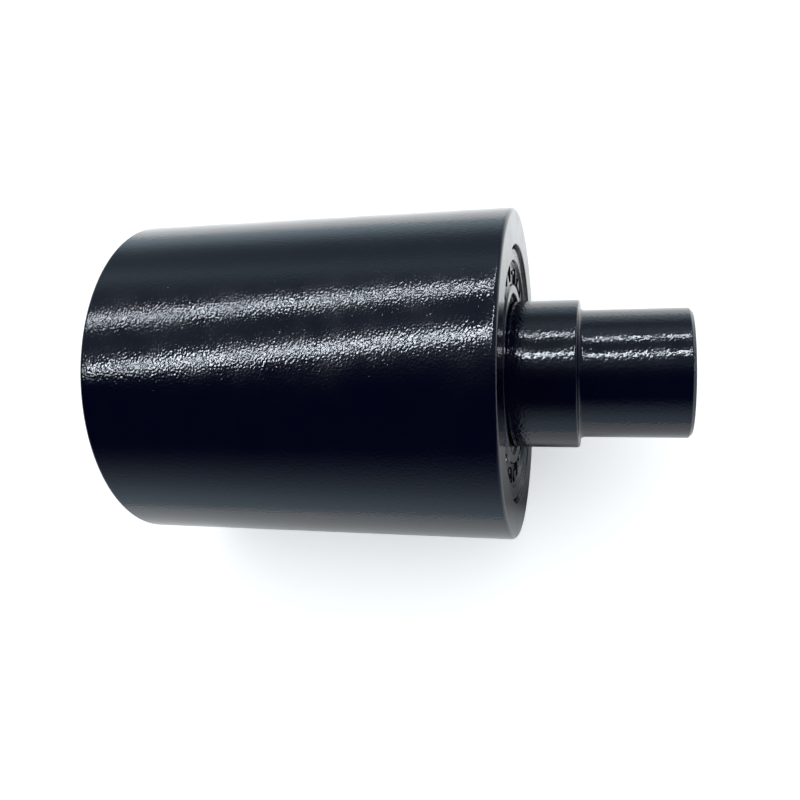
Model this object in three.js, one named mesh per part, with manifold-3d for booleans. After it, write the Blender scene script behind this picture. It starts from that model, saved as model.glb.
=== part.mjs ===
// Carrier roller for a small tracked excavator: a plain drum that turns on a stepped shaft held at one end.
//
// Millimetres. +Y runs along the shaft towards its free stub, +Z is up, and the origin is on the shaft's axis,
// in the plane of the shoulder that the frame's clamp bears against. Positions inside the drum are given as a
// depth behind the drum's inboard face, and y() turns a depth into a Y coordinate.
//
// From the stub inwards: seal collar, floating seal, seal seat, circlip, ball bearing, spacer, ball bearing,
// shaft circlip, end cover with its O-ring, circlip, and the oil plug with its washer.

import * as THREE from "three";
import { mergeVertices } from "three/addons/utils/BufferGeometryUtils.js";
import Module from "manifold-3d";

const wasm = await Module();
wasm.setup();

// ---- Driving dimensions ----

const drum = { radius: 39.5, length: 94, edge: 1, bore: 31, land: 27 };
const shaft = { collar: 17.5, collarLength: 14.5, stub: 15, stubLength: 25, rootFillet: 1.2 };
const bearing = { bore: 15, outer: 31, width: 16, pitch: 23, ball: 4.7625, balls: 9, groove: 5.3 };
const bearingShoulder = { inner: 19.1, outer: 26.9 };
const clip = { thickness: 2, grooveDepth: 1.5, grooveWidth: 2.2 };
const shaftClip = { thickness: 1.5, grooveDepth: 0.7, grooveWidth: 1.6 };
const plug = { thread: 7.9, head: 10.5, headHeight: 3, socketAcross: 8, socketDepth: 5.5 };
const washer = { inner: 8.2, outer: 11, thickness: 1.4 };

const FIT = 0.15; // radial or end gap between two pieces that are fitted together
const FINE = 36; // facets round the pieces that show
const COARSE = 24; // facets round the pieces inside

// ---- Depths behind the drum's inboard face ----

const collarFace = 0.7;
const sealPlane = 13;
const seatBack = 22.5;
const inboardClip = 22.8;
const inboardBearing = 25;
const landStart = inboardBearing + bearing.width + FIT;
const landEnd = landStart + 18.5;
const outboardBearing = landEnd + FIT;
const bearingsEnd = outboardBearing + bearing.width;
const shaftEnd = 80.5;
const coverInside = 81.3;
const coverFace = 87;
const coverClip = coverFace + FIT;

const y = (depth) => -shaft.collarLength - depth;

// ---- Shape helpers ----

// Pairs along an arc about a centre, from one angle to another in degrees. In a turned profile the pairs are
// [radius, depth], so 0 degrees points away from the axis and 90 degrees points deeper into the drum.
function arc(centreX, centreY, radius, from, to, steps) {
  return Array.from({ length: steps + 1 }, (_, i) => {
    const angle = THREE.MathUtils.degToRad(from + ((to - from) * i) / steps);
    return [centreX + radius * Math.cos(angle), centreY + radius * Math.sin(angle)];
  });
}

// The profile of a groove cut from a wall at the given radius, walked from one depth to the other.
function groove(wall, floor, from, to) {
  return [[wall, from], [floor, from], [floor, to], [wall, to]];
}

// Mirrors a profile in the plane where the two seal faces meet.
const mirrored = (profile) => profile.map(([r, depth]) => [r, 2 * sealPlane - depth]);

// A solid of revolution. The profile closes on itself, or starts and ends on the axis, and may run either way.
function turned(profile, facets) {
  const points = profile.map(([r, depth]) => new THREE.Vector2(r, y(depth)));
  const anticlockwise = THREE.ShapeUtils.area(points) > 0;
  const ordered = anticlockwise ? points : points.slice().reverse();
  const onAxis = profile[0][0] === 0;
  if (!onAxis) ordered.push(ordered[0].clone());
  return new THREE.LatheGeometry(ordered, facets);
}

// A ring of round section, such as an O-ring.
function torus(radius, depth, section, sides, facets) {
  return turned(arc(radius, depth, section, 0, 360, sides).slice(0, -1), facets);
}

function toSolid(geometry) {
  const bare = geometry.clone().deleteAttribute("normal").deleteAttribute("uv");
  const merged = mergeVertices(bare);
  return new wasm.Manifold(new wasm.Mesh({
    numProp: 3,
    vertProperties: new Float32Array(merged.attributes.position.array),
    triVerts: new Uint32Array(merged.index.array),
  }));
}

function toGeometry(solid) {
  const mesh = solid.getMesh();
  const geometry = new THREE.BufferGeometry();
  geometry.setAttribute("position", new THREE.BufferAttribute(mesh.vertProperties, 3));
  geometry.setIndex(new THREE.BufferAttribute(mesh.triVerts, 1));
  const faceted = geometry.toNonIndexed();
  faceted.computeVertexNormals();
  return faceted;
}

// ---- Materials ----

const finish = (color, roughness, metalness) =>
  new THREE.MeshStandardMaterial({ color, roughness, metalness });
const blackPaint = finish(0x0b0c12, 0.25, 0.1);
const groundSteel = finish(0xb4b6b8, 0.3, 0.9);
const pressedSteel = finish(0x8f9194, 0.45, 0.9);
const phosphated = finish(0x2b2b2d, 0.55, 0.6);
const sealIron = finish(0x77787a, 0.35, 0.9);
const nitrile = finish(0x17171a, 0.7, 0);
const copper = finish(0xb26a42, 0.4, 0.9);

const roller = new THREE.Group();

function add(name, geometry, material) {
  const mesh = new THREE.Mesh(geometry, material);
  mesh.name = name;
  roller.add(mesh);
  return mesh;
}

// ---- Drum and shaft ----

function drumShell() {
  const edge = drum.radius - drum.edge;
  const clipFloor = drum.bore + clip.grooveDepth;
  const clipSlack = (clip.grooveWidth - clip.thickness) / 2;
  const [inboardMouth, outboardMouth] = [0.3, 0.9]; // chamfers of the bore
  return turned([
    ...arc(edge, drum.edge, drum.edge, -90, 0, 2),
    ...arc(edge, drum.length - drum.edge, drum.edge, 0, 90, 2),
    [drum.bore + outboardMouth, drum.length],
    [drum.bore, drum.length - outboardMouth],
    ...groove(drum.bore, clipFloor, coverClip + clip.thickness + clipSlack, coverClip - clipSlack),
    [drum.bore, landEnd],
    [drum.land, landEnd],
    [drum.land, landStart],
    [drum.bore, landStart],
    ...groove(drum.bore, clipFloor, inboardClip + clip.thickness + clipSlack, inboardClip - clipSlack),
    [drum.bore, inboardMouth],
    [drum.bore + inboardMouth, 0],
  ], FINE);
}

const shaftORing = { depth: 4.3, floor: 16.1, width: 2.2, section: 0.55 };

// A lathe centre: a cone drilled into an end face. Inwards is +1 or -1 along the depth.
const latheCentre = (face, inwards) => [[2.6, face], [0, face + 3.6 * inwards]];

function steppedShaft() {
  const stubFace = -shaft.collarLength - shaft.stubLength;
  const shoulder = -shaft.collarLength;
  const { rootFillet, stub, collar } = shaft;
  const [oRingStart, oRingEnd] = [-1, 1].map((side) => shaftORing.depth + (side * shaftORing.width) / 2);
  const shaftClipStart = bearingsEnd + FIT;
  return turned([
    ...latheCentre(stubFace, 1).reverse(),
    [stub - 0.8, stubFace],
    [stub, stubFace + 0.8],
    ...arc(stub + rootFillet, shoulder - rootFillet, rootFillet, 180, 90, 2),
    [collar - 0.5, shoulder],
    [collar, shoulder + 0.5],
    ...groove(collar, shaftORing.floor, oRingStart, oRingEnd),
    [collar, inboardBearing - 0.6],
    [collar - 0.5, inboardBearing - FIT],
    [bearing.bore, inboardBearing - FIT],
    ...groove(bearing.bore, bearing.bore - shaftClip.grooveDepth,
      shaftClipStart, shaftClipStart + shaftClip.grooveWidth),
    [bearing.bore, shaftEnd - 1],
    [bearing.bore - 1, shaftEnd],
    ...latheCentre(shaftEnd, -1),
  ], FINE);
}

// ---- Seal collar, with cast marks in a channel on its outer face ----

const collar = {
  radius: 30.3, rimInner: 27.4, hubOuter: 21.4, hubFace: 0.9, recess: 19.5, recessFloor: 2.2,
  channel: 1.6, markTop: 1.1, back: 12,
};
const pocket = { floor: 5.6, coneStart: 26.3, coneEnd: 27.4 }; // the cone that the toric ring rolls in

function sealCollarBody() {
  const bore = shaft.collar + FIT;
  return turned([
    [bore, collar.recessFloor],
    [collar.recess, collar.recessFloor],
    [collar.recess, collar.hubFace],
    [collar.hubOuter, collar.hubFace],
    [collar.hubOuter + 0.3, collar.channel],
    [collar.rimInner - 0.3, collar.channel],
    [collar.rimInner, collarFace],
    [collar.radius - 0.4, collarFace],
    [collar.radius, collarFace + 0.4],
    [collar.radius, collar.back - 0.6],
    [collar.radius - 0.6, collar.back],
    [pocket.coneEnd, collar.back],
    [pocket.coneStart, pocket.floor + 0.6],
    [pocket.coneStart - 0.7, pocket.floor],
    [bore, pocket.floor],
  ], FINE);
}

// Plain raised bars and wedges stand where a maker would cast lettering.
function castMarks() {
  const middle = (collar.hubOuter + collar.rimInner) / 2;
  const height = collar.channel - collar.markTop + 0.4; // sunk 0.4 mm, so that it joins the channel's floor
  const shapes = [
    () => new THREE.BoxGeometry(0.9, height, 4),
    () => new THREE.CylinderGeometry(1.9, 1.9, height, 3),
    () => new THREE.BoxGeometry(0.9, height, 4),
    () => new THREE.BoxGeometry(2.6, height, 0.9),
  ];
  const count = 28;
  return Array.from({ length: count }, (_, i) => {
    const mark = shapes[i % shapes.length]();
    mark.translate(0, y(collar.markTop) - height / 2, middle);
    mark.rotateY((i * 2 * Math.PI) / count);
    return toSolid(mark);
  });
}

function sealCollar() {
  const solid = castMarks().reduce((joined, mark) => joined.add(mark), toSolid(sealCollarBody()));
  return toGeometry(solid);
}

// ---- Floating seal: two lapped rings face to face, each carried by a toric rubber ring ----

const sealRingProfile = [
  [19, 6.3], [21.6, 6.3], [22.2, 6.9], [22.2, 10.3], [22.8, 10.9], [26.2, 10.9], [26.2, 12.85],
  [23.6, 12.85], [23, 12.2], [19, 12.2],
];
const toric = { radius: 24.5, depth: 8.45, section: 2.05 };

function sealSeat() {
  const holeRadius = 19.6;
  const outer = drum.bore - FIT;
  const floor = 2 * sealPlane - pocket.floor;
  const front = 2 * sealPlane - collar.back;
  return turned([
    [pocket.coneEnd, front],
    [outer - 0.5, front],
    [outer, front + 0.5],
    [outer, seatBack],
    [holeRadius, seatBack],
    [holeRadius, floor],
    [pocket.coneStart - 0.7, floor],
    [pocket.coneStart, floor - 0.6],
  ], COARSE);
}

// ---- Ball bearings ----

const grooveHalfAngle = THREE.MathUtils.radToDeg(
  Math.acos((bearingShoulder.outer - bearing.pitch) / bearing.groove));

// The inner race's groove faces away from the axis, and the outer race's groove faces the axis.
function race(start, seat, shoulder, grooveDirection) {
  const middle = start + bearing.width / 2;
  const end = start + bearing.width;
  const chamfer = Math.sign(shoulder - seat);
  const [from, to] = [-grooveHalfAngle, grooveHalfAngle].map((angle) => grooveDirection + angle);
  const raceway = arc(bearing.pitch, middle, bearing.groove, from, to, 3);
  return turned([
    [seat, start + 1], [seat + chamfer, start], [shoulder, start],
    ...(grooveDirection === 0 ? raceway : raceway.reverse()),
    [shoulder, end], [seat + chamfer, end], [seat, end - 1],
  ], COARSE);
}

const innerRace = (start) => race(start, bearing.bore + FIT, bearingShoulder.inner, 180);
const outerRace = (start) => race(start, bearing.outer - FIT, bearingShoulder.outer, 0);

// Ball centres as [x, depth, z], the first one straight above the shaft.
function ballCentres(start) {
  return Array.from({ length: bearing.balls }, (_, i) => {
    const angle = (i * 2 * Math.PI) / bearing.balls;
    return [bearing.pitch * Math.sin(angle), start + bearing.width / 2, bearing.pitch * Math.cos(angle)];
  });
}

// A ribbon cage: a flat band with a round cup at each ball.
function cage(start) {
  const middle = y(start + bearing.width / 2);
  const width = 3.2; // of the ribbon, across the pitch circle
  const halfBand = 0.9;
  const [inner, outer] = [bearing.pitch - width / 2, bearing.pitch + width / 2];
  const band = toSolid(new THREE.LatheGeometry([
    new THREE.Vector2(inner, middle - halfBand), new THREE.Vector2(outer, middle - halfBand),
    new THREE.Vector2(outer, middle + halfBand), new THREE.Vector2(inner, middle + halfBand),
    new THREE.Vector2(inner, middle - halfBand),
  ], 3 * bearing.balls));
  const drums = (radius, length) => Array.from({ length: bearing.balls }, (_, i) => toSolid(
    new THREE.CylinderGeometry(radius, radius, length, 10)
      .rotateX(Math.PI / 2)
      .translate(0, middle, bearing.pitch)
      .rotateY((i * 2 * Math.PI) / bearing.balls)));
  const cups = drums(bearing.ball + 1.7, width);
  const pockets = drums(bearing.ball + 0.7, 2 * width);
  const ribbon = cups.reduce((joined, cup) => joined.add(cup), band);
  return toGeometry(pockets.reduce((left, pocket) => left.subtract(pocket), ribbon));
}

function addBearing(side, start) {
  add(`${side}_bearing_inner_race`, innerRace(start), groundSteel);
  add(`${side}_bearing_outer_race`, outerRace(start), groundSteel);
  add(`${side}_bearing_cage`, cage(start), pressedSteel);
  ballCentres(start).forEach(([x, depth, z], i) => {
    const ball = add(`${side}_bearing_ball_${i + 1}`, new THREE.IcosahedronGeometry(bearing.ball, 1), groundSteel);
    ball.position.set(x, y(depth), z);
  });
}

function bearingSpacer() {
  const [inner, outer] = [bearing.bore + FIT, 18.6];
  return turned([[inner, landStart], [outer, landStart], [outer, landEnd], [inner, landEnd]], COARSE);
}

// ---- Circlips ----

// A spring ring, open at the top, with a lug and a plier hole at each end. Rim is the radius of the edge that
// sits in the groove. The free edge is round too, but its centre is moved by the taper, so that the ring is at
// its widest (arm) opposite the gap. Inwards says whether the lugs point at the shaft's axis. Angles in degrees.
function circlip({ rim, arm, taper, lug, hole, gapAngle, lugAngle, thickness, inwards }) {
  const side = inwards ? -1 : 1;
  const lugRadius = rim + side * lug;
  const [start, end] = [90 + gapAngle, 450 - gapAngle];
  const [freeRadius, freeCentre] = [rim + side * (arm - taper), -side * taper];
  const lugSide = THREE.MathUtils.degToRad(end - lugAngle);
  const meetRadius = freeCentre * Math.sin(lugSide)
    + Math.sqrt(freeRadius ** 2 - (freeCentre * Math.cos(lugSide)) ** 2);
  const meet = THREE.MathUtils.radToDeg(
    Math.atan2(meetRadius * Math.sin(lugSide) - freeCentre, meetRadius * Math.cos(lugSide)));
  const toVectors = (pairs) => pairs.map(([across, up]) => new THREE.Vector2(across, up));
  const outline = toVectors([
    ...arc(0, 0, rim, start, end, 30),
    ...arc(0, 0, lugRadius, end, end - lugAngle, 2),
    ...arc(0, freeCentre, freeRadius, 360 + meet, 180 - meet, 22),
    ...arc(0, 0, lugRadius, start + lugAngle, start, 2),
  ]);
  const shape = new THREE.Shape(inwards ? outline : outline.reverse());
  for (const angle of [start + lugAngle / 2, end - lugAngle / 2]) {
    const [across, up] = arc(0, 0, rim + side * lug * 0.6, angle, angle, 1)[0];
    shape.holes.push(new THREE.Path(toVectors(arc(across, up, hole, 360, 0, 6).slice(0, -1))));
  }
  return new THREE.ExtrudeGeometry(shape, { depth: thickness, bevelEnabled: false }).rotateX(Math.PI / 2);
}

const boreCirclip = () => circlip({
  rim: drum.bore + clip.grooveDepth - FIT, arm: 5, taper: 0.9, lug: 6.8, hole: 1.25,
  gapAngle: 10, lugAngle: 13, thickness: clip.thickness, inwards: true,
});

const shaftCirclip = () => circlip({
  rim: bearing.bore - shaftClip.grooveDepth + FIT, arm: 3.6, taper: 0.7, lug: 5, hole: 1,
  gapAngle: 12, lugAngle: 20, thickness: shaftClip.thickness, inwards: false,
});

// ---- End cover and oil plug ----

const coverORing = { depth: coverInside + 1.7, floor: 28.7, width: 2.7, section: 0.85 };

function endCover() {
  const outer = drum.bore - FIT;
  const rimInner = 27.6;
  const rimStart = bearingsEnd + FIT;
  const [grooveStart, grooveEnd] = [-1, 1].map((side) => coverORing.depth + (side * coverORing.width) / 2);
  const threadHole = plug.thread + 0.3;
  const dish = { inner: 13, outer: 25, depth: 1 };
  return turned([
    [rimInner, rimStart],
    [outer - 0.5, rimStart],
    [outer, rimStart + 0.5],
    ...groove(outer, coverORing.floor, grooveStart, grooveEnd),
    [outer, coverFace - 0.6],
    [outer - 0.6, coverFace],
    [dish.outer, coverFace],
    [dish.outer - 0.6, coverFace - dish.depth],
    [dish.inner + 0.6, coverFace - dish.depth],
    [dish.inner, coverFace],
    [threadHole, coverFace],
    [threadHole, coverInside],
    [rimInner - 1, coverInside],
    [rimInner, coverInside - 1],
  ], FINE);
}

function oilPlug() {
  const seat = coverFace + FIT + washer.thickness + FIT;
  const top = seat + plug.headHeight;
  const body = toSolid(turned([
    [0, coverInside + 0.4], [plug.thread - 0.6, coverInside + 0.4], [plug.thread, coverInside + 1],
    [plug.thread, seat], [plug.head, seat], [plug.head, top - 0.6], [plug.head - 0.6, top], [0, top],
  ], COARSE));
  const socketRadius = plug.socketAcross / Math.sqrt(3);
  const socket = new THREE.CylinderGeometry(socketRadius, socketRadius, 2 * plug.socketDepth, 6);
  return toGeometry(body.subtract(toSolid(socket.translate(0, y(top), 0))));
}

function plugWasher() {
  const [start, end] = [coverFace + FIT, coverFace + FIT + washer.thickness];
  return turned([
    [washer.inner, start], [washer.outer, start], [washer.outer, end], [washer.inner, end],
  ], COARSE);
}

// ---- Assembly ----

add("roller_shell", drumShell(), blackPaint);
add("roller_shaft", steppedShaft(), blackPaint);

add("seal_collar", sealCollar(), blackPaint);
add("shaft_o_ring", torus((shaftORing.floor + shaft.collar + FIT) / 2, shaftORing.depth,
  shaftORing.section, 6, COARSE), nitrile);
add("static_seal_ring", turned(sealRingProfile, COARSE), sealIron);
add("static_toric_ring", torus(toric.radius, toric.depth, toric.section, 6, COARSE), nitrile);
add("rotating_seal_ring", turned(mirrored(sealRingProfile), COARSE), sealIron);
add("rotating_toric_ring", torus(toric.radius, 2 * sealPlane - toric.depth, toric.section, 6, COARSE), nitrile);
add("seal_seat_ring", sealSeat(), groundSteel);

addBearing("inboard", inboardBearing);
addBearing("outboard", outboardBearing);
add("inboard_bearing_circlip", boreCirclip(), phosphated).position.y = y(inboardClip);
add("bearing_spacer", bearingSpacer(), groundSteel);
add("shaft_circlip", shaftCirclip(), phosphated).position.y = y(bearingsEnd + FIT + 0.05);

add("end_cover", endCover(), blackPaint);
add("cover_o_ring", torus((coverORing.floor + drum.bore) / 2, coverORing.depth,
  coverORing.section, 6, COARSE), nitrile);
add("cover_circlip", boreCirclip(), blackPaint).position.y = y(coverClip);
add("oil_plug", oilPlug(), blackPaint);
add("plug_washer", plugWasher(), copper);

export default roller;
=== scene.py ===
"""Looks of a carrier roller: fine surfaces, paint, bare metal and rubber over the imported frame, with a
pale floor, two ceiling tubes, two cards that only reflections see, and the camera.

Profiles are pairs of (radius, depth) in millimetres, and a profile's corners may add the radius of a fillet.
Depth is measured from the drum's inboard face into the drum, as in the CAD model. Meshes are made in metres,
in the row frame: +Y along the shaft, +Z up.
"""

import math

import bmesh
import bpy
from mathutils import Matrix, Vector


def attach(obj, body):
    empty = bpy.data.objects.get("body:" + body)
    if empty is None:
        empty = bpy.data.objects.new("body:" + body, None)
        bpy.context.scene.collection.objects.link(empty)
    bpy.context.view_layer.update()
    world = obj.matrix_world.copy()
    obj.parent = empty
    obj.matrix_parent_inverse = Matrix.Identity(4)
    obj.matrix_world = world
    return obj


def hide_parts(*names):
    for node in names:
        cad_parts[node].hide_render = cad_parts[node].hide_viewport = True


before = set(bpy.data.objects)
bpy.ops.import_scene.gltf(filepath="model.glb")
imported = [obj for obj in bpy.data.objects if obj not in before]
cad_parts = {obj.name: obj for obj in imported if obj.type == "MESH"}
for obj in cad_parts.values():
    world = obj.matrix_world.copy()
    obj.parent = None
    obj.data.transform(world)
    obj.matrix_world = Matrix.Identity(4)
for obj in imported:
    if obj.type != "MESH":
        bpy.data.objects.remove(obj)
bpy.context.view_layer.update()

MM = 0.001
FIT = 0.15  # gap between two pieces that are fitted together

# Radii and lengths
DRUM_RADIUS, DRUM_LENGTH, DRUM_EDGE = 39.5, 94.0, 1.0
BORE, BORE_MOUTH, LAND = 31.0, 0.9, 27.0
SHAFT_COLLAR, COLLAR_LENGTH = 17.5, 14.5
SHAFT_STUB, STUB_LENGTH = 15.0, 25.0
JOURNAL = 15.0
BALL, PITCH, BALLS = 4.7625, 23.0, 9
BEARING_WIDTH, SPACER_LENGTH = 16.0, 18.5

# Radii of what is fitted in the drum's bore, on the shaft's collar and on its journal
IN_BORE, ON_COLLAR, ON_JOURNAL = BORE - FIT, SHAFT_COLLAR + FIT, JOURNAL + FIT

# Depths
O_RING = 4.3
SEAL_PLANE = 13.0
SEAT_BACK = 22.5
INBOARD_CLIP = 22.8
INBOARD_BEARING = 25.0
LAND_START = INBOARD_BEARING + BEARING_WIDTH + FIT
LAND_END = LAND_START + SPACER_LENGTH
OUTBOARD_BEARING = LAND_END + FIT
OUTBOARD_STEP = OUTBOARD_BEARING + BEARING_WIDTH + FIT
SHAFT_END = 80.5
COVER_INSIDE, COVER_SEAL, COVER_FACE = 81.3, 83.0, 87.0
COVER_CLIP = COVER_FACE + FIT


# ---- Nodes for materials ----


class Graph:
    """A few short calls to build a material's or the world's nodes."""

    def __init__(self, tree):
        self.tree = tree
        tree.nodes.clear()

    def node(self, kind, values=None, **settings):
        made = self.tree.nodes.new(kind)
        for key, value in settings.items():
            setattr(made, key, value)
        for key, value in (values or {}).items():
            self.feed(made.inputs[key], value)
        return made

    def feed(self, socket, value):
        if isinstance(value, bpy.types.NodeSocket):
            self.tree.links.new(value, socket)
        else:
            socket.default_value = value

    def math(self, operation, *terms):
        made = self.tree.nodes.new("ShaderNodeMath")
        made.operation = operation
        for socket, term in zip(made.inputs, terms):
            self.feed(socket, term)
        return made.outputs[0]

    def remap(self, value, low, high, to_low=0.0, to_high=1.0):
        made = self.node("ShaderNodeMapRange", {0: value, 1: low, 2: high, 3: to_low, 4: to_high})
        made.clamp = True
        return made.outputs[0]

    def noise(self, where, scale, detail, roughness=0.5):
        made = self.node("ShaderNodeTexNoise",
                         {"Vector": where, "Scale": scale, "Detail": detail, "Roughness": roughness})
        return made.outputs["Fac"]

    def mix(self, factor, a, b):
        made = self.node("ShaderNodeMix", {0: factor}, data_type="RGBA")
        self.feed(made.inputs[6], a)
        self.feed(made.inputs[7], b)
        return made.outputs[2]

    def bump(self, height, distance, normal=None):
        values = {"Height": height, "Distance": distance}
        if normal is not None:
            values["Normal"] = normal
        return self.node("ShaderNodeBump", values).outputs[0]

    def stretched(self, where, scale):
        return self.node("ShaderNodeMapping", {"Vector": where, "Scale": scale}).outputs[0]


def grey(value):
    return (value, value, value, 1.0)


def material(name, build):
    made = bpy.data.materials.new(name)
    made.use_nodes = True
    graph = Graph(made.node_tree)
    where = graph.node("ShaderNodeTexCoord").outputs["Object"]
    values = build(graph, where)
    shader = graph.node("ShaderNodeBsdfPrincipled", values)
    output = graph.node("ShaderNodeOutputMaterial")
    graph.tree.links.new(shader.outputs[0], output.inputs[0])
    return made


def tool_rings(graph, where, per_metre):
    """Rings left by a lathe or a grinder: noise that changes with the radius and along the axis, but not
    with the angle round it."""
    across, along, up = graph.node("ShaderNodeSeparateXYZ", {0: where}).outputs
    square = graph.math("ADD", graph.math("MULTIPLY", across, across), graph.math("MULTIPLY", up, up))
    cut = graph.node("ShaderNodeCombineXYZ", {0: graph.math("SQRT", square), 1: along}).outputs[0]
    return graph.noise(graph.stretched(cut, (per_metre, per_metre, 1)), 1, 1)


def gloss_black(grain, relief):
    """Thick gloss enamel: blue-black, with an orange-peel surface and a few dust nibs. The peel's grain is
    in cells per metre, and its relief in metres."""
    def build(graph, where):
        cloud = graph.noise(where, 45, 3)
        peel = graph.noise(where, grain, 0)
        nibs = graph.remap(graph.noise(where, 1300, 1), 0.74, 0.82)
        return {
            "Base Color": graph.mix(cloud, (0.0003, 0.0007, 0.0062, 1), (0.0010, 0.0014, 0.0084, 1)),
            "Roughness": graph.remap(graph.noise(where, 130, 2), 0.3, 0.7, 0.08, 0.16),
            "IOR": 1.5,
            "Normal": graph.bump(nibs, 0.00002, graph.bump(peel, relief)),
        }
    return build


def turned_steel(base, low, high):
    """Lathe-cut steel: fine rings from the tool, with an oily variation in colour."""
    def build(graph, where):
        rings = tool_rings(graph, where, 5200)
        stain = graph.noise(where, 90, 4, 0.6)
        dark = tuple(c * 0.72 for c in base[:3]) + (1,)
        return {
            "Base Color": graph.mix(graph.remap(stain, 0.35, 0.7), base, dark),
            "Metallic": 1.0,
            "Roughness": graph.remap(graph.noise(where, 260, 3), 0.3, 0.7, low, high),
            "Normal": graph.bump(rings, 0.00001),
        }
    return build


def polished_steel(graph, where):
    """Ground and honed bearing steel, with a faint haze."""
    haze = graph.noise(where, 180, 3)
    return {
        "Base Color": graph.mix(haze, (0.60, 0.60, 0.61, 1), (0.72, 0.72, 0.72, 1)),
        "Metallic": 1.0,
        "Roughness": graph.remap(haze, 0.3, 0.7, 0.1, 0.2),
        "Normal": graph.bump(tool_rings(graph, where, 9000), 0.000003),
    }


def pressed_steel(graph, where):
    """Cold-rolled strip, tumbled after pressing."""
    scuff = graph.noise(where, 420, 4, 0.65)
    return {
        "Base Color": graph.mix(scuff, (0.40, 0.40, 0.41, 1), (0.58, 0.58, 0.58, 1)),
        "Metallic": 1.0,
        "Roughness": graph.remap(scuff, 0.3, 0.7, 0.28, 0.48),
        "Normal": graph.bump(scuff, 0.00003),
    }


def chilled_iron(graph, where):
    """Cast alloy iron: grainy where it is cast, with a dark tone."""
    grain = graph.noise(where, 1500, 4, 0.7)
    return {
        "Base Color": graph.mix(grain, (0.19, 0.19, 0.2, 1), (0.36, 0.36, 0.37, 1)),
        "Metallic": 1.0,
        "Roughness": graph.remap(grain, 0.3, 0.7, 0.35, 0.6),
        "Normal": graph.bump(grain, 0.00004),
    }


def phosphated_steel(graph, where):
    """Phosphated spring steel: matt black-brown crystals, rubbed brighter in places."""
    crystals = graph.noise(where, 3000, 3, 0.7)
    rubbed = graph.remap(graph.noise(where, 160, 3), 0.55, 0.72)
    return {
        "Base Color": graph.mix(rubbed, (0.035, 0.034, 0.033, 1), (0.11, 0.105, 0.1, 1)),
        "Metallic": 0.6,
        "Roughness": graph.remap(crystals, 0.3, 0.7, 0.42, 0.62),
        "Normal": graph.bump(crystals, 0.00001),
    }


def nitrile(graph, where):
    """Smooth moulded rubber with a trace of talc."""
    talc = graph.remap(graph.noise(where, 700, 4, 0.7), 0.5, 0.75)
    return {
        "Base Color": graph.mix(talc, (0.012, 0.012, 0.013, 1), (0.04, 0.04, 0.042, 1)),
        "Roughness": graph.remap(talc, 0, 1, 0.42, 0.7),
        "Normal": graph.bump(graph.noise(where, 1800, 2), 0.00001),
    }


def annealed_copper(graph, where):
    """Soft copper, tarnished unevenly."""
    tarnish = graph.noise(where, 320, 4, 0.6)
    dulled = graph.remap(tarnish, 0.35, 0.7)
    return {
        "Base Color": graph.mix(dulled, (0.62, 0.27, 0.16, 1), (0.3, 0.13, 0.09, 1)),
        "Metallic": 1.0,
        "Roughness": graph.remap(tarnish, 0.3, 0.7, 0.25, 0.45),
        "Normal": graph.bump(tarnish, 0.00003),
    }


drum_paint = material("drum_paint", gloss_black(2000, 0.000034))
shaft_paint = material("shaft_paint", gloss_black(1600, 0.000036))
bare = material("turned_steel", turned_steel((0.48, 0.48, 0.49, 1), 0.24, 0.42))
polished = material("bearing_steel", polished_steel)
pressed = material("cage_steel", pressed_steel)
iron = material("seal_iron", chilled_iron)
phosphated = material("spring_steel", phosphated_steel)
rubber = material("nitrile_rubber", nitrile)
copper = material("copper", annealed_copper)


# ---- Shapes ----

TINY = 0.01  # a distance that doesn't show
SUPPORT = 0.12  # from a fillet to the point that keeps the flat next to it flat
SHARP = math.radians(32)  # an edge that turns more than this isn't smoothed


def y(depth):
    """The Y coordinate at that depth behind the drum's inboard face."""
    return -COLLAR_LENGTH - depth


def arc(centre, radius, start, end, steps):
    """Points along an arc, from one angle to another in degrees."""
    angles = [math.radians(start + (end - start) * i / steps) for i in range(steps + 1)]
    return [(centre[0] + radius * math.cos(a), centre[1] + radius * math.sin(a)) for a in angles]


def groove(wall, floor, start, end, mouth=0.05, foot=0.1):
    """The corners of a groove cut from a wall down to a floor, walked from one depth to the other."""
    return [(wall, start, mouth), (floor, start, foot), (floor, end, foot), (wall, end, mouth)]


def mirrored(corners):
    """The same corners on the other side of the plane where the seal faces meet."""
    return [(r, 2 * SEAL_PLANE - depth, *rest) for r, depth, *rest in corners]


def fillet_points(here, into, out, radius, steps):
    """The points that round off one corner, with a supporting point on both sides where there is room. The
    vectors into and out are the whole sides that meet at the corner."""
    into_length, out_length = into.length, out.length
    into, out = into.normalized(), out.normalized()
    turn = into.angle(out)
    reach = min(radius * math.tan(turn / 2), into_length * 0.45, out_length * 0.45)
    first, last = here - into * reach, here + out * reach
    margin_in = min(SUPPORT, into_length * 0.5 - reach)
    margin_out = min(SUPPORT, out_length * 0.5 - reach)
    points = [first - into * margin_in] if margin_in > TINY else []
    for k in range(steps + 1):
        # a circular arc, written as a rational quadratic curve
        t = k / steps
        a, b, c = (1 - t) ** 2, 2 * t * (1 - t) * math.cos(turn / 2), t ** 2
        points.append((first * a + here * b + last * c) / (a + b + c))
    if margin_out > TINY:
        points.append(last + out * margin_out)
    return points


def rounded(corners, steps=5):
    """A closed profile from corners (radius, depth, fillet). Corners without a fillet, such as those on the
    axis, stay sharp."""
    points = []
    for i, (radius, depth, *fillet) in enumerate(corners):
        here = Vector((radius, depth))
        into = here - Vector(corners[i - 1][:2])
        out = Vector(corners[(i + 1) % len(corners)][:2]) - here
        if fillet:
            points += fillet_points(here, into, out, fillet[0], steps)
        else:
            points.append(here)
    return [tuple(point) for point in points]


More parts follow.
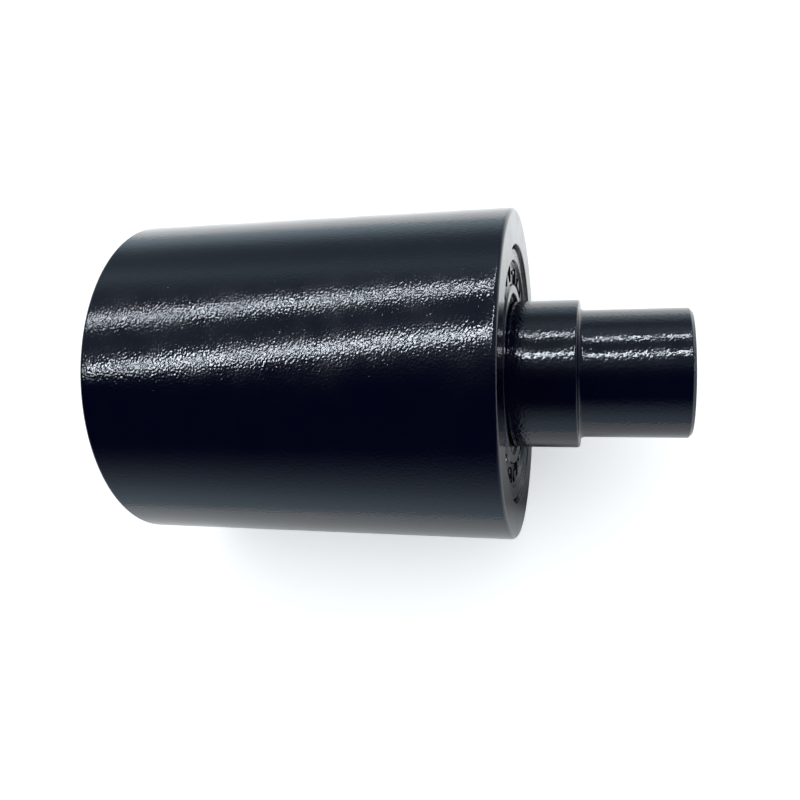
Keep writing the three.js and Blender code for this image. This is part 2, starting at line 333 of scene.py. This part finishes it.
def finish_piece(mesh, materials, body, nodes):
    """Shades a mesh smooth except at its sharp edges, and puts it in the scene as a piece of the object."""
    work = bmesh.new()
    work.from_mesh(mesh)
    bmesh.ops.remove_doubles(work, verts=work.verts, dist=1e-7)
    bmesh.ops.recalc_face_normals(work, faces=work.faces)
    for face in work.faces:
        face.smooth = True
    for edge in work.edges:
        if len(edge.link_faces) == 2 and edge.calc_face_angle() > SHARP:
            edge.smooth = False
    work.to_mesh(mesh)
    work.free()
    piece = bpy.data.objects.new(mesh.name, mesh)
    bpy.context.scene.collection.objects.link(piece)
    for one in materials:
        mesh.materials.append(one)
    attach(piece, body)
    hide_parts(*nodes)


def ring_faces(rings, segments, closed):
    """Faces between rings of vertices, each as (index of its first ring, vertices): quads, or triangles at a
    ring of one vertex. The last ring is joined to the first where the profile is closed."""
    pairs = len(rings) if closed else len(rings) - 1
    faces = []
    for i in range(pairs):
        a, b = rings[i], rings[(i + 1) % len(rings)]
        for k in range(segments):
            n = (k + 1) % segments
            corners = [a[k % len(a)], a[n % len(a)], b[n % len(b)], b[k % len(b)]]
            faces.append((i, list(dict.fromkeys(corners))))
    return faces


def turned(name, profile, segments, centre=(0.0, 0.0), squash=None, finish=None):
    """A mesh turned about the shaft's axis, or about a parallel one through centre (across, up), with that
    many segments round it. squash(index, angle) scales a ring's radius, and finish(radius, depth) picks a
    face's material."""
    on_axis = profile[0][0] == 0
    vertices, rings = [], []
    for index, (radius, depth) in enumerate(profile):
        count = 1 if radius == 0 else segments
        rings.append(range(len(vertices), len(vertices) + count))
        for k in range(count):
            angle = 2 * math.pi * k / segments
            r = radius * (squash(index, angle) if squash else 1.0)
            vertices.append((MM * (centre[0] + r * math.sin(angle)), MM * y(depth),
                             MM * (centre[1] + r * math.cos(angle))))
    faces = ring_faces(rings, segments, not on_axis)
    mesh = bpy.data.meshes.new(name)
    mesh.from_pydata(vertices, [], [corners for _, corners in faces])
    if finish:
        for polygon, (i, _) in zip(mesh.polygons, faces):
            a, b = profile[i], profile[(i + 1) % len(profile)]
            polygon.material_index = finish((a[0] + b[0]) / 2, (a[1] + b[1]) / 2)
    return mesh


def torus(name, radius, depth, section):
    """A rubber ring with the fine flash line that its mould leaves on the outside and the inside."""
    flash, sides = 0.06, 28
    points = arc((radius, depth), section, 0, 360, sides)[:-1]
    for i, shift in ((0, flash), (sides // 2, -flash)):
        points[i] = (points[i][0] + shift, points[i][1])
    return turned(name, points, 144)


def flat_outline(name, outline, holes, thickness, depth):
    """A stamped plate between depth and depth + thickness, with its edges rounded by the punch."""
    edge = 0.12
    curve = bpy.data.curves.new(name, "CURVE")
    curve.dimensions = "2D"
    curve.fill_mode = "BOTH"
    curve.extrude = MM * (thickness / 2 - edge)
    curve.bevel_depth = MM * edge
    curve.bevel_resolution = 2
    curve.offset = -MM * edge
    for loop in [outline, *holes]:
        spline = curve.splines.new("POLY")
        spline.points.add(len(loop) - 1)
        for point, (across, up) in zip(spline.points, loop):
            point.co = (MM * across, MM * up, 0, 1)
        spline.use_cyclic_u = True
    holder = bpy.data.objects.new(name, curve)
    bpy.context.scene.collection.objects.link(holder)
    bpy.context.view_layer.update()
    evaluated = holder.evaluated_get(bpy.context.evaluated_depsgraph_get())
    mesh = bpy.data.meshes.new_from_object(evaluated)
    bpy.data.objects.remove(holder)
    bpy.data.curves.remove(curve)
    mesh.name = name
    turn = Matrix.Rotation(math.pi / 2, 4, "X")
    mesh.transform(Matrix.Translation((0, MM * y(depth + thickness / 2), 0)) @ turn)
    return mesh


def circlip(name, rim, arm, taper, lug, hole, gap, lug_angle, thickness, inwards, depth):
    """A spring ring that is widest opposite its gap, with a plier hole in the lug at each end. Its rim is
    the edge that sits in the groove, and the rest lies inwards of the rim or outwards."""
    side = -1 if inwards else 1
    start, end = 90 + gap, 450 - gap
    free_radius, free_centre = rim + side * (arm - taper), -side * taper
    lug_side = math.radians(end - lug_angle)
    meet_radius = free_centre * math.sin(lug_side) + math.sqrt(
        free_radius ** 2 - (free_centre * math.cos(lug_side)) ** 2)
    meet = math.degrees(math.atan2(meet_radius * math.sin(lug_side) - free_centre,
                                   meet_radius * math.cos(lug_side)))
    outline = [
        *arc((0, 0), rim, start, end, 150),
        *arc((0, 0), rim + side * lug, end, end - lug_angle, 8),
        *arc((0, free_centre), free_radius, 360 + meet, 180 - meet, 130),
        *arc((0, 0), rim + side * lug, start + lug_angle, start, 8),
    ]
    holes = []
    for angle in (start + lug_angle / 2, end - lug_angle / 2):
        middle = arc((0, 0), rim + side * lug * 0.6, angle, angle, 1)[0]
        holes.append(arc(middle, hole, 0, 360, 28)[:-1])
    return flat_outline(name, outline, holes, thickness, depth)


def joined(name, meshes):
    """One mesh from several."""
    work = bmesh.new()
    for mesh in meshes:
        work.from_mesh(mesh)
        bpy.data.meshes.remove(mesh)
    whole = bpy.data.meshes.new(name)
    work.to_mesh(whole)
    work.free()
    return whole


# ---- Drum ----

CLIP_THICKNESS, CLIP_PLAY, CLIP_FLOOR = 2.0, 0.1, BORE + 1.5
BARE_FROM = 2.5


def clip_groove(clip):
    """The corners of the groove for a circlip that starts at that depth, from its deeper side outwards."""
    return groove(BORE, CLIP_FLOOR, clip + CLIP_THICKNESS + CLIP_PLAY, clip - CLIP_PLAY)


def drum_finish(radius, depth):
    """Bare metal in the bore between the painted mouths."""
    inside = radius < CLIP_FLOOR + TINY and BARE_FROM < depth < COVER_CLIP
    return 1 if inside else 0


drum_profile = rounded([
    (DRUM_RADIUS, 0, DRUM_EDGE), (DRUM_RADIUS, DRUM_LENGTH, DRUM_EDGE),
    (BORE + BORE_MOUTH, DRUM_LENGTH, 0.2), (BORE, DRUM_LENGTH - BORE_MOUTH, 0.2),
    *clip_groove(COVER_CLIP),
    (BORE, LAND_END, 0.4), (LAND, LAND_END, 0.5), (LAND, LAND_START, 0.5), (BORE, LAND_START, 0.4),
    *clip_groove(INBOARD_CLIP),
    (BORE, 0, 0.3),
], steps=10)

finish_piece(turned("drum", drum_profile, 288, finish=drum_finish),
             [drum_paint, bare], "roller", ["roller_shell"])


# ---- Shaft ----

CENTRE_HOLE, CENTRE_DEPTH = 2.6, 3.6
STUB_BEVEL, SHOULDER_BEVEL, END_BEVEL = 0.8, 0.5, 1.0
O_RING_FLOOR, O_RING_GROOVE = 16.1, 2.2
SHAFT_CLIP_FLOOR, SHAFT_CLIP_GROOVE = 14.3, 1.6
PAINT_END = 1.4


def shaft_finish(radius, depth):
    """Paint on what stands out of the seal collar, and bare metal inside the drum."""
    return 1 if depth > PAINT_END else 0


stub_face = -COLLAR_LENGTH - STUB_LENGTH
shoulder = INBOARD_BEARING - FIT
shaft_profile = rounded([
    (0, stub_face + CENTRE_DEPTH), (CENTRE_HOLE, stub_face, 0.15),
    (SHAFT_STUB - STUB_BEVEL, stub_face, 0.35), (SHAFT_STUB, stub_face + STUB_BEVEL, 0.35),
    (SHAFT_STUB, -COLLAR_LENGTH, 1.2), (SHAFT_COLLAR, -COLLAR_LENGTH, 0.55),
    *groove(SHAFT_COLLAR, O_RING_FLOOR, O_RING - O_RING_GROOVE / 2, O_RING + O_RING_GROOVE / 2, mouth=0.1),
    (SHAFT_COLLAR, shoulder - 0.45, 0.2), (SHAFT_COLLAR - SHOULDER_BEVEL, shoulder, 0.1),
    (JOURNAL, shoulder, 0.3),
    *groove(JOURNAL, SHAFT_CLIP_FLOOR, OUTBOARD_STEP, OUTBOARD_STEP + SHAFT_CLIP_GROOVE),
    (JOURNAL, SHAFT_END - END_BEVEL, 0.3), (JOURNAL - END_BEVEL, SHAFT_END, 0.3),
    (CENTRE_HOLE, SHAFT_END, 0.15), (0, SHAFT_END - CENTRE_DEPTH),
], steps=7)
finish_piece(turned("shaft", shaft_profile, 224, finish=shaft_finish),
             [shaft_paint, bare], "shaft", ["roller_shaft"])


# ---- Seal collar, with plain cast marks in its channel ----

RECESS, RECESS_FLOOR = 19.5, 2.2
HUB, HUB_FACE = 21.4, 0.9
RIM_INNER, RIM, RIM_FACE, RIM_BACK = 27.4, 30.3, 0.7, 12
CHANNEL, DRAFT = 1.6, 0.3
MARKS, MARK_RADIUS, MARK_TOP = 28, 24.4, 1.1
TORIC_FLOOR = 5.6

toric_ramp = [(27.4, RIM_BACK, 0.15), (26.3, TORIC_FLOOR + 0.6, 0.4), (25.6, TORIC_FLOOR, 0.3)]
collar_profile = rounded([
    (ON_COLLAR, RECESS_FLOOR, 0.1), (RECESS, RECESS_FLOOR, 0.3), (RECESS, HUB_FACE, 0.25),
    (HUB, HUB_FACE, 0.25), (HUB + DRAFT, CHANNEL, 0.2),
    (RIM_INNER - DRAFT, CHANNEL, 0.2), (RIM_INNER, RIM_FACE, 0.25),
    (RIM - 0.4, RIM_FACE, 0.15), (RIM, RIM_FACE + 0.4, 0.15),
    (RIM, RIM_BACK - 0.6, 0.2), (RIM - 0.6, RIM_BACK, 0.2),
    *toric_ramp, (ON_COLLAR, TORIC_FLOOR, 0.1),
], steps=6)


def mark(outline, place):
    """A cast mark with sloping sides and soft edges. The outline is in (along, outward) millimetres, and
    each level has an inset and a depth."""
    size = max(math.hypot(*point) for point in outline)
    levels = [(0.0, CHANNEL + 0.3), (0.0, CHANNEL),
              (0.1, MARK_TOP + 0.15), (0.18, MARK_TOP + 0.04), (0.3, MARK_TOP)]
    vertices, rings = [], []
    for inset, depth in levels:
        scale = 1 - inset / size
        rings.append(range(len(vertices), len(vertices) + len(outline)))
        for along, outward in outline:
            at = Vector((along * scale, 0, MARK_RADIUS + outward * scale))
            vertices.append(MM * (Matrix.Rotation(place, 3, "Y") @ at) + Vector((0, MM * y(depth), 0)))
    faces = [corners for _, corners in ring_faces(rings, len(outline), False)]
    faces.append(list(rings[-1]))
    faces.append(list(rings[0])[::-1])
    mesh = bpy.data.meshes.new("mark")
    mesh.from_pydata([tuple(v) for v in vertices], [], faces)
    return mesh


def soft_box(width, height):
    """A rectangle with rounded corners."""
    corner = 0.35
    across, up = width / 2 - corner, height / 2 - corner
    points = []
    for quarter, (sx, sy) in enumerate([(1, 1), (-1, 1), (-1, -1), (1, -1)]):
        points += arc((sx * across, sy * up), corner, 90 * quarter, 90 * quarter + 90, 4)
    return points


upright, triangle, dash = soft_box(0.9, 4.0), arc((0, 0), 1.9, 90, 450, 3)[:-1], soft_box(2.6, 0.9)
pattern = [upright, triangle, upright, dash]
marks = [mark(pattern[i % len(pattern)], 2 * math.pi * i / MARKS) for i in range(MARKS)]
finish_piece(joined("seal_collar_casting", [turned("collar", collar_profile, 224), *marks]),
             [shaft_paint], "shaft", ["seal_collar"])


# ---- Seal ----

LAPPED_FACE, SEAT_BORE = SEAL_PLANE - FIT, 19.6
TORIC_RADIUS, TORIC_DEPTH, TORIC_SECTION = 24.5, 8.45, 2.05
LEAD_IN = 0.5

seal_ring = [
    (19, 6.3, 0.3), (21.6, 6.3, 0.3), (22.2, 6.9, 0.3), (22.2, 10.3, 0.4), (22.8, 10.9, 0.3),
    (26.2, 10.9, 0.3), (26.2, LAPPED_FACE, 0.2), (23.6, LAPPED_FACE, 0.1), (23, 12.2, 0.3), (19, 12.2, 0.3),
]


def lapped(radius, depth):
    """The narrow band where the two rings meet is polished."""
    return 1 if abs(depth - SEAL_PLANE) < FIT + 0.05 else 0


for side, body, corners, toric_depth in (
        ("static", "shaft", seal_ring, TORIC_DEPTH),
        ("rotating", "roller", mirrored(seal_ring), 2 * SEAL_PLANE - TORIC_DEPTH)):
    ring = turned(f"{side}_seal", rounded(corners), 160, finish=lapped)
    finish_piece(ring, [iron, polished], body, [f"{side}_seal_ring"])
    finish_piece(torus(f"{side}_toric", TORIC_RADIUS, toric_depth, TORIC_SECTION), [rubber], body,
                 [f"{side}_toric_ring"])

seat_rim, *seat_ramp = mirrored(toric_ramp)
front, seat_floor = seat_rim[1], seat_ramp[-1][1]
seat_corners = [
    seat_rim, (IN_BORE - LEAD_IN, front, 0.2), (IN_BORE, front + LEAD_IN, 0.2), (IN_BORE, SEAT_BACK, 0.3),
    (SEAT_BORE, SEAT_BACK, 0.3), (SEAT_BORE, seat_floor, 0.3), *seat_ramp[::-1],
]
finish_piece(turned("seal_seat", rounded(seat_corners), 160), [bare], "roller",
             ["seal_seat_ring"])
finish_piece(torus("shaft_seal_o_ring", (O_RING_FLOOR + ON_COLLAR) / 2, O_RING, 0.55), [rubber], "shaft",
             ["shaft_o_ring"])


# ---- Bearings ----

BALL_TRACK, BALL_PLAY = 4.95, 0.03
INNER_SHOULDER, OUTER_SHOULDER = 19.1, 26.9
CAGE_INNER, CAGE_OUTER, CAGE_STRIP = 21.4, 24.6, 0.8
CAGE_LAND, CAGE_BEND, CAGE_PLAY = 0.44, 0.9, 0.25


def on_pitch_circle(turns):
    """A place (across, up) on the circle of the balls' centres, that many turns from the top."""
    angle = 2 * math.pi * turns
    return PITCH * math.sin(angle), PITCH * math.cos(angle)


def race(name, start, seat, shoulder, outward):
    """A bearing race. The ball's path is an arc a little wider than the ball."""
    middle, end = start + BEARING_WIDTH / 2, start + BEARING_WIDTH
    lift = BALL_TRACK - BALL - BALL_PLAY
    half = math.degrees(math.acos((abs(shoulder - PITCH) + lift) / BALL_TRACK))
    if outward:
        path = arc((PITCH - lift, middle), BALL_TRACK, -half, half, 16)
    else:
        path = arc((PITCH + lift, middle), BALL_TRACK, 180 + half, 180 - half, 16)
    corners = [(seat, start, 1.0), (shoulder, start, 0.4), *path, (shoulder, end, 0.4), (seat, end, 1.0)]
    return turned(name, rounded(corners), 160)


def ribbon(name, start, side):
    """Half of a pressed cage: a strip that swells round each ball. Side is 1 or -1 along the axis."""
    middle = start + BEARING_WIDTH / 2
    half_pitch, flat = math.pi * PITCH / BALLS, 0.8
    dome = BALL + CAGE_PLAY + CAGE_STRIP / 2
    bend_height = CAGE_LAND + CAGE_BEND
    foot = math.sqrt((dome + CAGE_BEND) ** 2 - bend_height ** 2)
    lean = math.degrees(math.atan2(bend_height, foot))
    line = [
        (half_pitch, CAGE_LAND), (half_pitch - flat, CAGE_LAND),
        *arc((foot, bend_height), CAGE_BEND, 270, 180 + lean, 5),
        *arc((0, 0), dome, lean, 180 - lean, 22)[1:-1],
        *arc((-foot, bend_height), CAGE_BEND, -lean, -90, 5),
        (-half_pitch + flat, CAGE_LAND),
    ]
    steps = [(2 * math.pi * i / BALLS + along / PITCH, axial)
             for i in reversed(range(BALLS)) for along, axial in line]
    vertices, rings = [], []
    for k, (angle, axial) in enumerate(steps):
        before, after = steps[k - 1], steps[(k + 1) % len(steps)]
        turn = (before[0] - after[0] + math.pi) % (2 * math.pi) - math.pi
        direction = Vector((turn * PITCH, before[1] - after[1])).normalized()
        normal = Vector((-direction.y, direction.x)) * CAGE_STRIP / 2
        rings.append(range(len(vertices), len(vertices) + 4))
        for shift, radius in ((1, CAGE_INNER), (1, CAGE_OUTER), (-1, CAGE_OUTER), (-1, CAGE_INNER)):
            at = angle + shift * normal.x / PITCH
            depth = middle + side * (axial + shift * normal.y)
            vertices.append((MM * radius * math.sin(at), MM * y(depth), MM * radius * math.cos(at)))
    faces = [corners for _, corners in ring_faces(rings, 4, True)]
    mesh = bpy.data.meshes.new(name)
    mesh.from_pydata(vertices, [], faces)
    return mesh


def rivet(start, turns):
    """A rivet through both halves of a cage, with a domed head on each side."""
    middle = start + BEARING_WIDTH / 2
    head = [(0, 1.6), (0.55, 1.52), (0.95, 1.28), (1.12, 0.9), (0.7, 0.9)]
    profile = [(r, middle - d) for r, d in head] + [(r, middle + d) for r, d in reversed(head)]
    return turned("rivet", profile, 20, centre=on_pitch_circle(turns))


def ball(name, start, turns):
    middle = start + BEARING_WIDTH / 2
    profile = [(0, middle - BALL), *arc((0, middle), BALL, -90, 90, 24)[1:-1], (0, middle + BALL)]
    return turned(name, profile, 48, centre=on_pitch_circle(turns))


for side, start in (("inboard", INBOARD_BEARING), ("outboard", OUTBOARD_BEARING)):
    finish_piece(race(f"{side}_inner_race", start, ON_JOURNAL, INNER_SHOULDER, False), [polished], "shaft",
                 [f"{side}_bearing_inner_race"])
    finish_piece(race(f"{side}_outer_race", start, IN_BORE, OUTER_SHOULDER, True), [polished], "roller",
                 [f"{side}_bearing_outer_race"])
    halves = [ribbon("half", start, 1), ribbon("half", start, -1)]
    rivets = [rivet(start, (i + 0.5) / BALLS) for i in range(BALLS)]
    finish_piece(joined(f"{side}_cage_ribbon", halves + rivets), [pressed], f"{side}_cage",
                 [f"{side}_bearing_cage"])
    for i in range(BALLS):
        name = f"{side}_ball_{i + 1}"
        finish_piece(ball(f"{name}_steel", start, i / BALLS), [polished], name,
                     [f"{side}_bearing_ball_{i + 1}"])

SPACER = 18.6
spacer_corners = [(ON_JOURNAL, LAND_START, 0.3), (SPACER, LAND_START, 0.4),
                  (SPACER, LAND_END, 0.4), (ON_JOURNAL, LAND_END, 0.3)]
finish_piece(turned("spacer_sleeve", rounded(spacer_corners), 144), [bare], "shaft",
             ["bearing_spacer"])

bore_clip = dict(rim=CLIP_FLOOR - FIT, arm=5, taper=0.9, lug=6.8, hole=1.25, gap=10, lug_angle=13,
                 thickness=CLIP_THICKNESS, inwards=True)
finish_piece(circlip("inboard_clip", depth=INBOARD_CLIP, **bore_clip), [phosphated], "roller",
             ["inboard_bearing_circlip"])
finish_piece(circlip("shaft_clip", rim=SHAFT_CLIP_FLOOR + FIT, arm=3.6, taper=0.7, lug=5, hole=1, gap=12,
                     lug_angle=20, thickness=1.5, inwards=False, depth=OUTBOARD_STEP + 0.05),
             [phosphated], "shaft", ["shaft_circlip"])


# ---- End cover and oil plug ----

COVER_SKIRT, COVER_BEVEL = 27.6, 0.6
COVER_GROOVE_FLOOR, COVER_GROOVE = 28.7, 2.7
DISH_OUTER, DISH_INNER, DISH_DEPTH = 25, 13, 1
PLUG_HOLE = 8.2
PAINTED_RIM = 2.3

seal_start, seal_end = COVER_SEAL - COVER_GROOVE / 2, COVER_SEAL + COVER_GROOVE / 2
cover_corners = [
    (COVER_SKIRT, OUTBOARD_STEP, 0.2), (IN_BORE - LEAD_IN, OUTBOARD_STEP, 0.2),
    (IN_BORE, OUTBOARD_STEP + LEAD_IN, 0.2),
    *groove(IN_BORE, COVER_GROOVE_FLOOR, seal_start, seal_end, foot=0.2),
    (IN_BORE, COVER_FACE - COVER_BEVEL, 0.2), (IN_BORE - COVER_BEVEL, COVER_FACE, 0.2),
    (DISH_OUTER, COVER_FACE, 0.35), (DISH_OUTER - 0.6, COVER_FACE - DISH_DEPTH, 0.5),
    (DISH_INNER + 0.6, COVER_FACE - DISH_DEPTH, 0.5), (DISH_INNER, COVER_FACE, 0.35),
    (PLUG_HOLE, COVER_FACE, 0.2), (PLUG_HOLE, COVER_INSIDE, 0.2),
    (COVER_SKIRT - 1, COVER_INSIDE, 0.6), (COVER_SKIRT, COVER_INSIDE - 1, 0.6),
]


def cover_finish(radius, depth):
    """Paint on the outside, down past the bevel at the rim, and bare metal in the plug's hole and inside."""
    outside = depth > COVER_FACE - PAINTED_RIM and radius > PLUG_HOLE + 0.1
    return 0 if outside else 1


finish_piece(turned("cover_disc", rounded(cover_corners, steps=6), 224, finish=cover_finish),
             [shaft_paint, bare], "roller", ["end_cover"])
finish_piece(torus("cover_seal_ring", (COVER_GROOVE_FLOOR + BORE) / 2, COVER_SEAL, 0.85), [rubber], "roller",
             ["cover_o_ring"])
finish_piece(circlip("cover_clip", depth=COVER_CLIP, **bore_clip), [shaft_paint], "roller",
             ["cover_circlip"])

WASHER_THICKNESS, WASHER_OUTER = 1.4, 11
WASHER_START = COVER_FACE + FIT
WASHER_END = WASHER_START + WASHER_THICKNESS
PLUG_SEAT = WASHER_END + FIT
PLUG_TOP, PLUG_TIP = PLUG_SEAT + 3, PLUG_SEAT - 7
PLUG_NECK, PLUG_HEAD, PLUG_THREAD = 7.2, 10.5, 7.9
THREAD_PITCH, THREAD_HEIGHT = 1.5, 0.45
ACROSS_FLATS, SOCKET_MOUTH, SOCKET_DEPTH = 8, 5.4, 5.5
SOCKET = ACROSS_FLATS / math.sqrt(3)

thread = [(PLUG_THREAD - THREAD_HEIGHT * (i % 2), PLUG_TIP + 0.7 + THREAD_PITCH / 2 * i) for i in range(8)]
plug_outside = rounded([
    (0, PLUG_TIP), (PLUG_NECK, PLUG_TIP, 0.1), *thread, (PLUG_NECK, PLUG_SEAT, 0.1),
    (PLUG_HEAD, PLUG_SEAT, 0.2), (PLUG_HEAD, PLUG_TOP, 0.7),
    (SOCKET_MOUTH, PLUG_TOP, 0.2), (4.75, PLUG_TOP - 0.5),
])
socket_floor = PLUG_TOP - SOCKET_DEPTH
plug_inside = [(SOCKET, PLUG_TOP - 0.62), (SOCKET, socket_floor + 0.5), (SOCKET * 0.97, socket_floor + 0.3),
               (0, socket_floor)]


def hexagon(index, angle):
    """Narrows the socket's rings from a circle to a hexagon with a corner at the top."""
    if index < len(plug_outside):
        return 1.0
    return math.cos(math.pi / 6) / math.cos(angle % (math.pi / 3) - math.pi / 6)


def plug_finish(radius, depth):
    """Paint on the head, and bare metal in the socket and on the thread."""
    on_head = depth > PLUG_TOP - 2.2 and radius > SOCKET_MOUTH - 0.2
    return 0 if on_head else 1


finish_piece(turned("plug", plug_outside + plug_inside, 192, squash=hexagon, finish=plug_finish),
             [shaft_paint, bare], "roller", ["oil_plug"])
washer_corners = [(PLUG_HOLE, WASHER_START, 0.2), (WASHER_OUTER, WASHER_START, 0.3),
                  (WASHER_OUTER, WASHER_END, 0.3), (PLUG_HOLE, WASHER_END, 0.2)]
finish_piece(turned("washer", rounded(washer_corners), 160), [copper], "roller",
             ["plug_washer"])


# ---- Floor ----


def floor_paper(graph, where):
    """White paper with a very faint mottle. Where it is seen directly it has a painted glow, which lifts
    its shadows towards white. Reflections see a painted glow on the far side of the object, and a painted
    shadow under the near side of the drum's end and the shaft's collar."""
    mottle = graph.noise(where, 30, 3)
    paper = graph.mix(mottle, (0.84, 0.84, 0.84, 1), (0.87, 0.87, 0.87, 1))
    ray = graph.node("ShaderNodeLightPath").outputs
    across, along, _ = graph.node("ShaderNodeSeparateXYZ", {0: where}).outputs
    # painted glow that only reflections see, on the far side of the object
    painted_far_glow = graph.math("MULTIPLY", graph.remap(across, -0.01, -0.075, 0.0, 0.55), ray["Is Glossy Ray"])
    near_side = graph.math("MULTIPLY", graph.remap(across, -0.025, 0.02), graph.remap(across, 0.034, 0.022))
    under_end = graph.math("MULTIPLY", graph.remap(along, -0.05, -0.015), graph.remap(along, 0.012, -0.012))
    # painted shadow that only reflections see, dark under the near side of the drum's end and the collar
    painted_shadow = graph.math("MULTIPLY", graph.math("MULTIPLY", near_side, under_end), ray["Is Glossy Ray"])
    return {
        "Base Color": graph.mix(painted_shadow, paper, (0.12, 0.12, 0.12, 1)),
        "Roughness": 0.8,
        "Emission Color": (1.0, 1.0, 1.0, 1),
        # painted glow where the floor is seen directly, which lifts its shadows, plus the painted far glow
        "Emission Strength": graph.math("MULTIPLY_ADD", ray["Is Camera Ray"], 0.32, painted_far_glow),
    }


FLOOR = 6.0
floor_mesh = bpy.data.meshes.new("floor")
level = -MM * DRUM_RADIUS
corners = [(-FLOOR, -FLOOR, level), (FLOOR, -FLOOR, level), (FLOOR, FLOOR, level), (-FLOOR, FLOOR, level)]
floor_mesh.from_pydata(corners, [], [(0, 1, 2, 3)])
floor = bpy.data.objects.new("floor", floor_mesh)
floor_mesh.materials.append(material("floor_paper", floor_paper))
bpy.context.scene.collection.objects.link(floor)


# ---- Light ----

TUBE_WIDTH, TUBE_HEIGHT, TUBE_COLOUR = 0.06, 2.0, (0.85, 0.915, 1.0)
GLOOM = (0.7, 0.88, 1.0, 1)
DAYLIGHT, AMBIENT = (0.93, 0.98, 1.0, 1), 1.2


def ceiling_tube(name, start, end, power):
    """A long light between two points (x, y) that are given for each metre of height above the object. Only
    the gloss shows it, so that the floor keeps a soft shadow."""
    a, b = Vector((*start, 1)) * TUBE_HEIGHT, Vector((*end, 1)) * TUBE_HEIGHT
    data = bpy.data.lights.new(name, "AREA")
    data.shape = "RECTANGLE"
    data.size, data.size_y = (b - a).length, TUBE_WIDTH
    data.energy = power
    data.color = TUBE_COLOUR
    light = bpy.data.objects.new(name, data)
    light.visible_diffuse = False
    along, down = (b - a).normalized(), Vector((0, 0, -1))
    light.matrix_world = Matrix((along, along.cross(down), -down)).transposed().to_4x4()
    light.location = (a + b) / 2
    bpy.context.scene.collection.objects.link(light)


ceiling_tube("far_tube", (-0.286, -0.85), (-1.104, 0.35), 34)
ceiling_tube("near_tube", (0.34, -0.80), (-0.382, 0.35), 28)


def card(name, place, lowest, highest, glow_low, glow_high):
    """A long upright card beside the object that only reflections see. Its glow fades with the height."""
    bottom, reach = level + MM / 2, 0.35
    corners = [(place, -reach, bottom), (place, reach, bottom),
               (place, reach, highest), (place, -reach, highest)]
    data = bpy.data.meshes.new(name)
    data.from_pydata(corners, [], [(0, 1, 2, 3)])
    glowing = bpy.data.materials.new(name)
    glowing.use_nodes = True
    graph = Graph(glowing.node_tree)
    where = graph.node("ShaderNodeTexCoord").outputs["Object"]
    height = graph.node("ShaderNodeSeparateXYZ", {0: where}).outputs[2]
    glow = graph.node("ShaderNodeMapRange", {0: height, 1: lowest, 2: highest, 3: glow_low, 4: glow_high},
                      interpolation_type="SMOOTHSTEP")
    shader = graph.node("ShaderNodeEmission", {"Color": GLOOM, "Strength": glow.outputs[0]})
    graph.tree.links.new(shader.outputs[0], graph.node("ShaderNodeOutputMaterial").inputs[0])
    glowing.cycles.emission_sampling = "NONE"
    data.materials.append(glowing)
    holder = bpy.data.objects.new(name, data)
    holder.visible_camera = holder.visible_shadow = False
    holder.visible_diffuse = holder.visible_transmission = False
    bpy.context.scene.collection.objects.link(holder)


card("near_card", 0.085, -0.02, 0.046, 0.75, 0.0)
card("far_card", -0.25, -0.02, 0.075, 1.15, 0.4)

# How bright reflections see the room, at each angle round the shaft in degrees, from the near horizon over
# the top to the far one.
ROOM = [(0, 0.0), (58, 0.0), (66, 0.03), (74, 0.08), (83, 0.28), (124, 0.3), (135, 0.45), (146, 0.8),
        (154, 0.5), (162, 0.36), (180, 0.4)]

world = bpy.data.worlds.new("studio")
bpy.context.scene.world = world
world.use_nodes = True
sky = Graph(world.node_tree)
direction = sky.node("ShaderNodeTexCoord").outputs["Generated"]
across, _, height = sky.node("ShaderNodeSeparateXYZ", {0: direction}).outputs
room = sky.node("ShaderNodeValToRGB", {0: sky.math("DIVIDE", sky.math("ARCTAN2", height, across), math.pi)})
ramp = room.color_ramp
for degrees, brightness in ROOM[1:-1]:
    ramp.elements.new(degrees / 180).color = grey(brightness)
ramp.elements[0].color, ramp.elements[-1].color = grey(ROOM[0][1]), grey(ROOM[-1][1])
mirrored_ray = sky.node("ShaderNodeLightPath").outputs["Is Glossy Ray"]
strength = sky.node("ShaderNodeMix", {0: mirrored_ray, 2: AMBIENT, 3: room.outputs[0]}).outputs[0]
colour = sky.mix(mirrored_ray, DAYLIGHT, GLOOM)
background = sky.node("ShaderNodeBackground", {"Color": colour, "Strength": strength})
sky.tree.links.new(background.outputs[0], sky.node("ShaderNodeOutputWorld").inputs[0])
world.cycles.sampling_method = "NONE"


# ---- Camera ----

CAMERA_DISTANCE = 0.2009  # from the shaft's axis
CAMERA_PLACE = 0.0076  # along the shaft
CAMERA_ELEVATION = math.radians(67)
CAMERA_YAW, CAMERA_PITCH, CAMERA_ROLL = 0.2526, 0.030, -0.0081
SENSOR_WIDTH, FOCAL_PER_WIDTH = 36, 1.0325


def swung(first, second, angle):
    """Two directions at right angles, both turned by an angle from the first towards the second."""
    return (math.cos(angle) * first + math.sin(angle) * second,
            math.cos(angle) * second - math.sin(angle) * first)


out = Vector((math.cos(CAMERA_ELEVATION), 0, math.sin(CAMERA_ELEVATION)))
right, up, ahead = Vector((0, 1, 0)), Vector((-out.z, 0, out.x)), -out
right, ahead = swung(right, ahead, CAMERA_YAW)
up, ahead = swung(up, ahead, CAMERA_PITCH)
right, up = swung(right, up, CAMERA_ROLL)
camera_data = bpy.data.cameras.new("camera")
camera_data.sensor_width = SENSOR_WIDTH
camera_data.lens = SENSOR_WIDTH * FOCAL_PER_WIDTH
camera_data.clip_start = 0.005
camera = bpy.data.objects.new("camera", camera_data)
camera.matrix_world = Matrix((right, up, -ahead)).transposed().to_4x4()
camera.location = out * CAMERA_DISTANCE + Vector((0, CAMERA_PLACE, 0))
bpy.context.scene.collection.objects.link(camera)
bpy.context.scene.camera = camera
bpy.context.scene.view_settings.view_transform = "Standard"

bpy.context.view_layer.update()
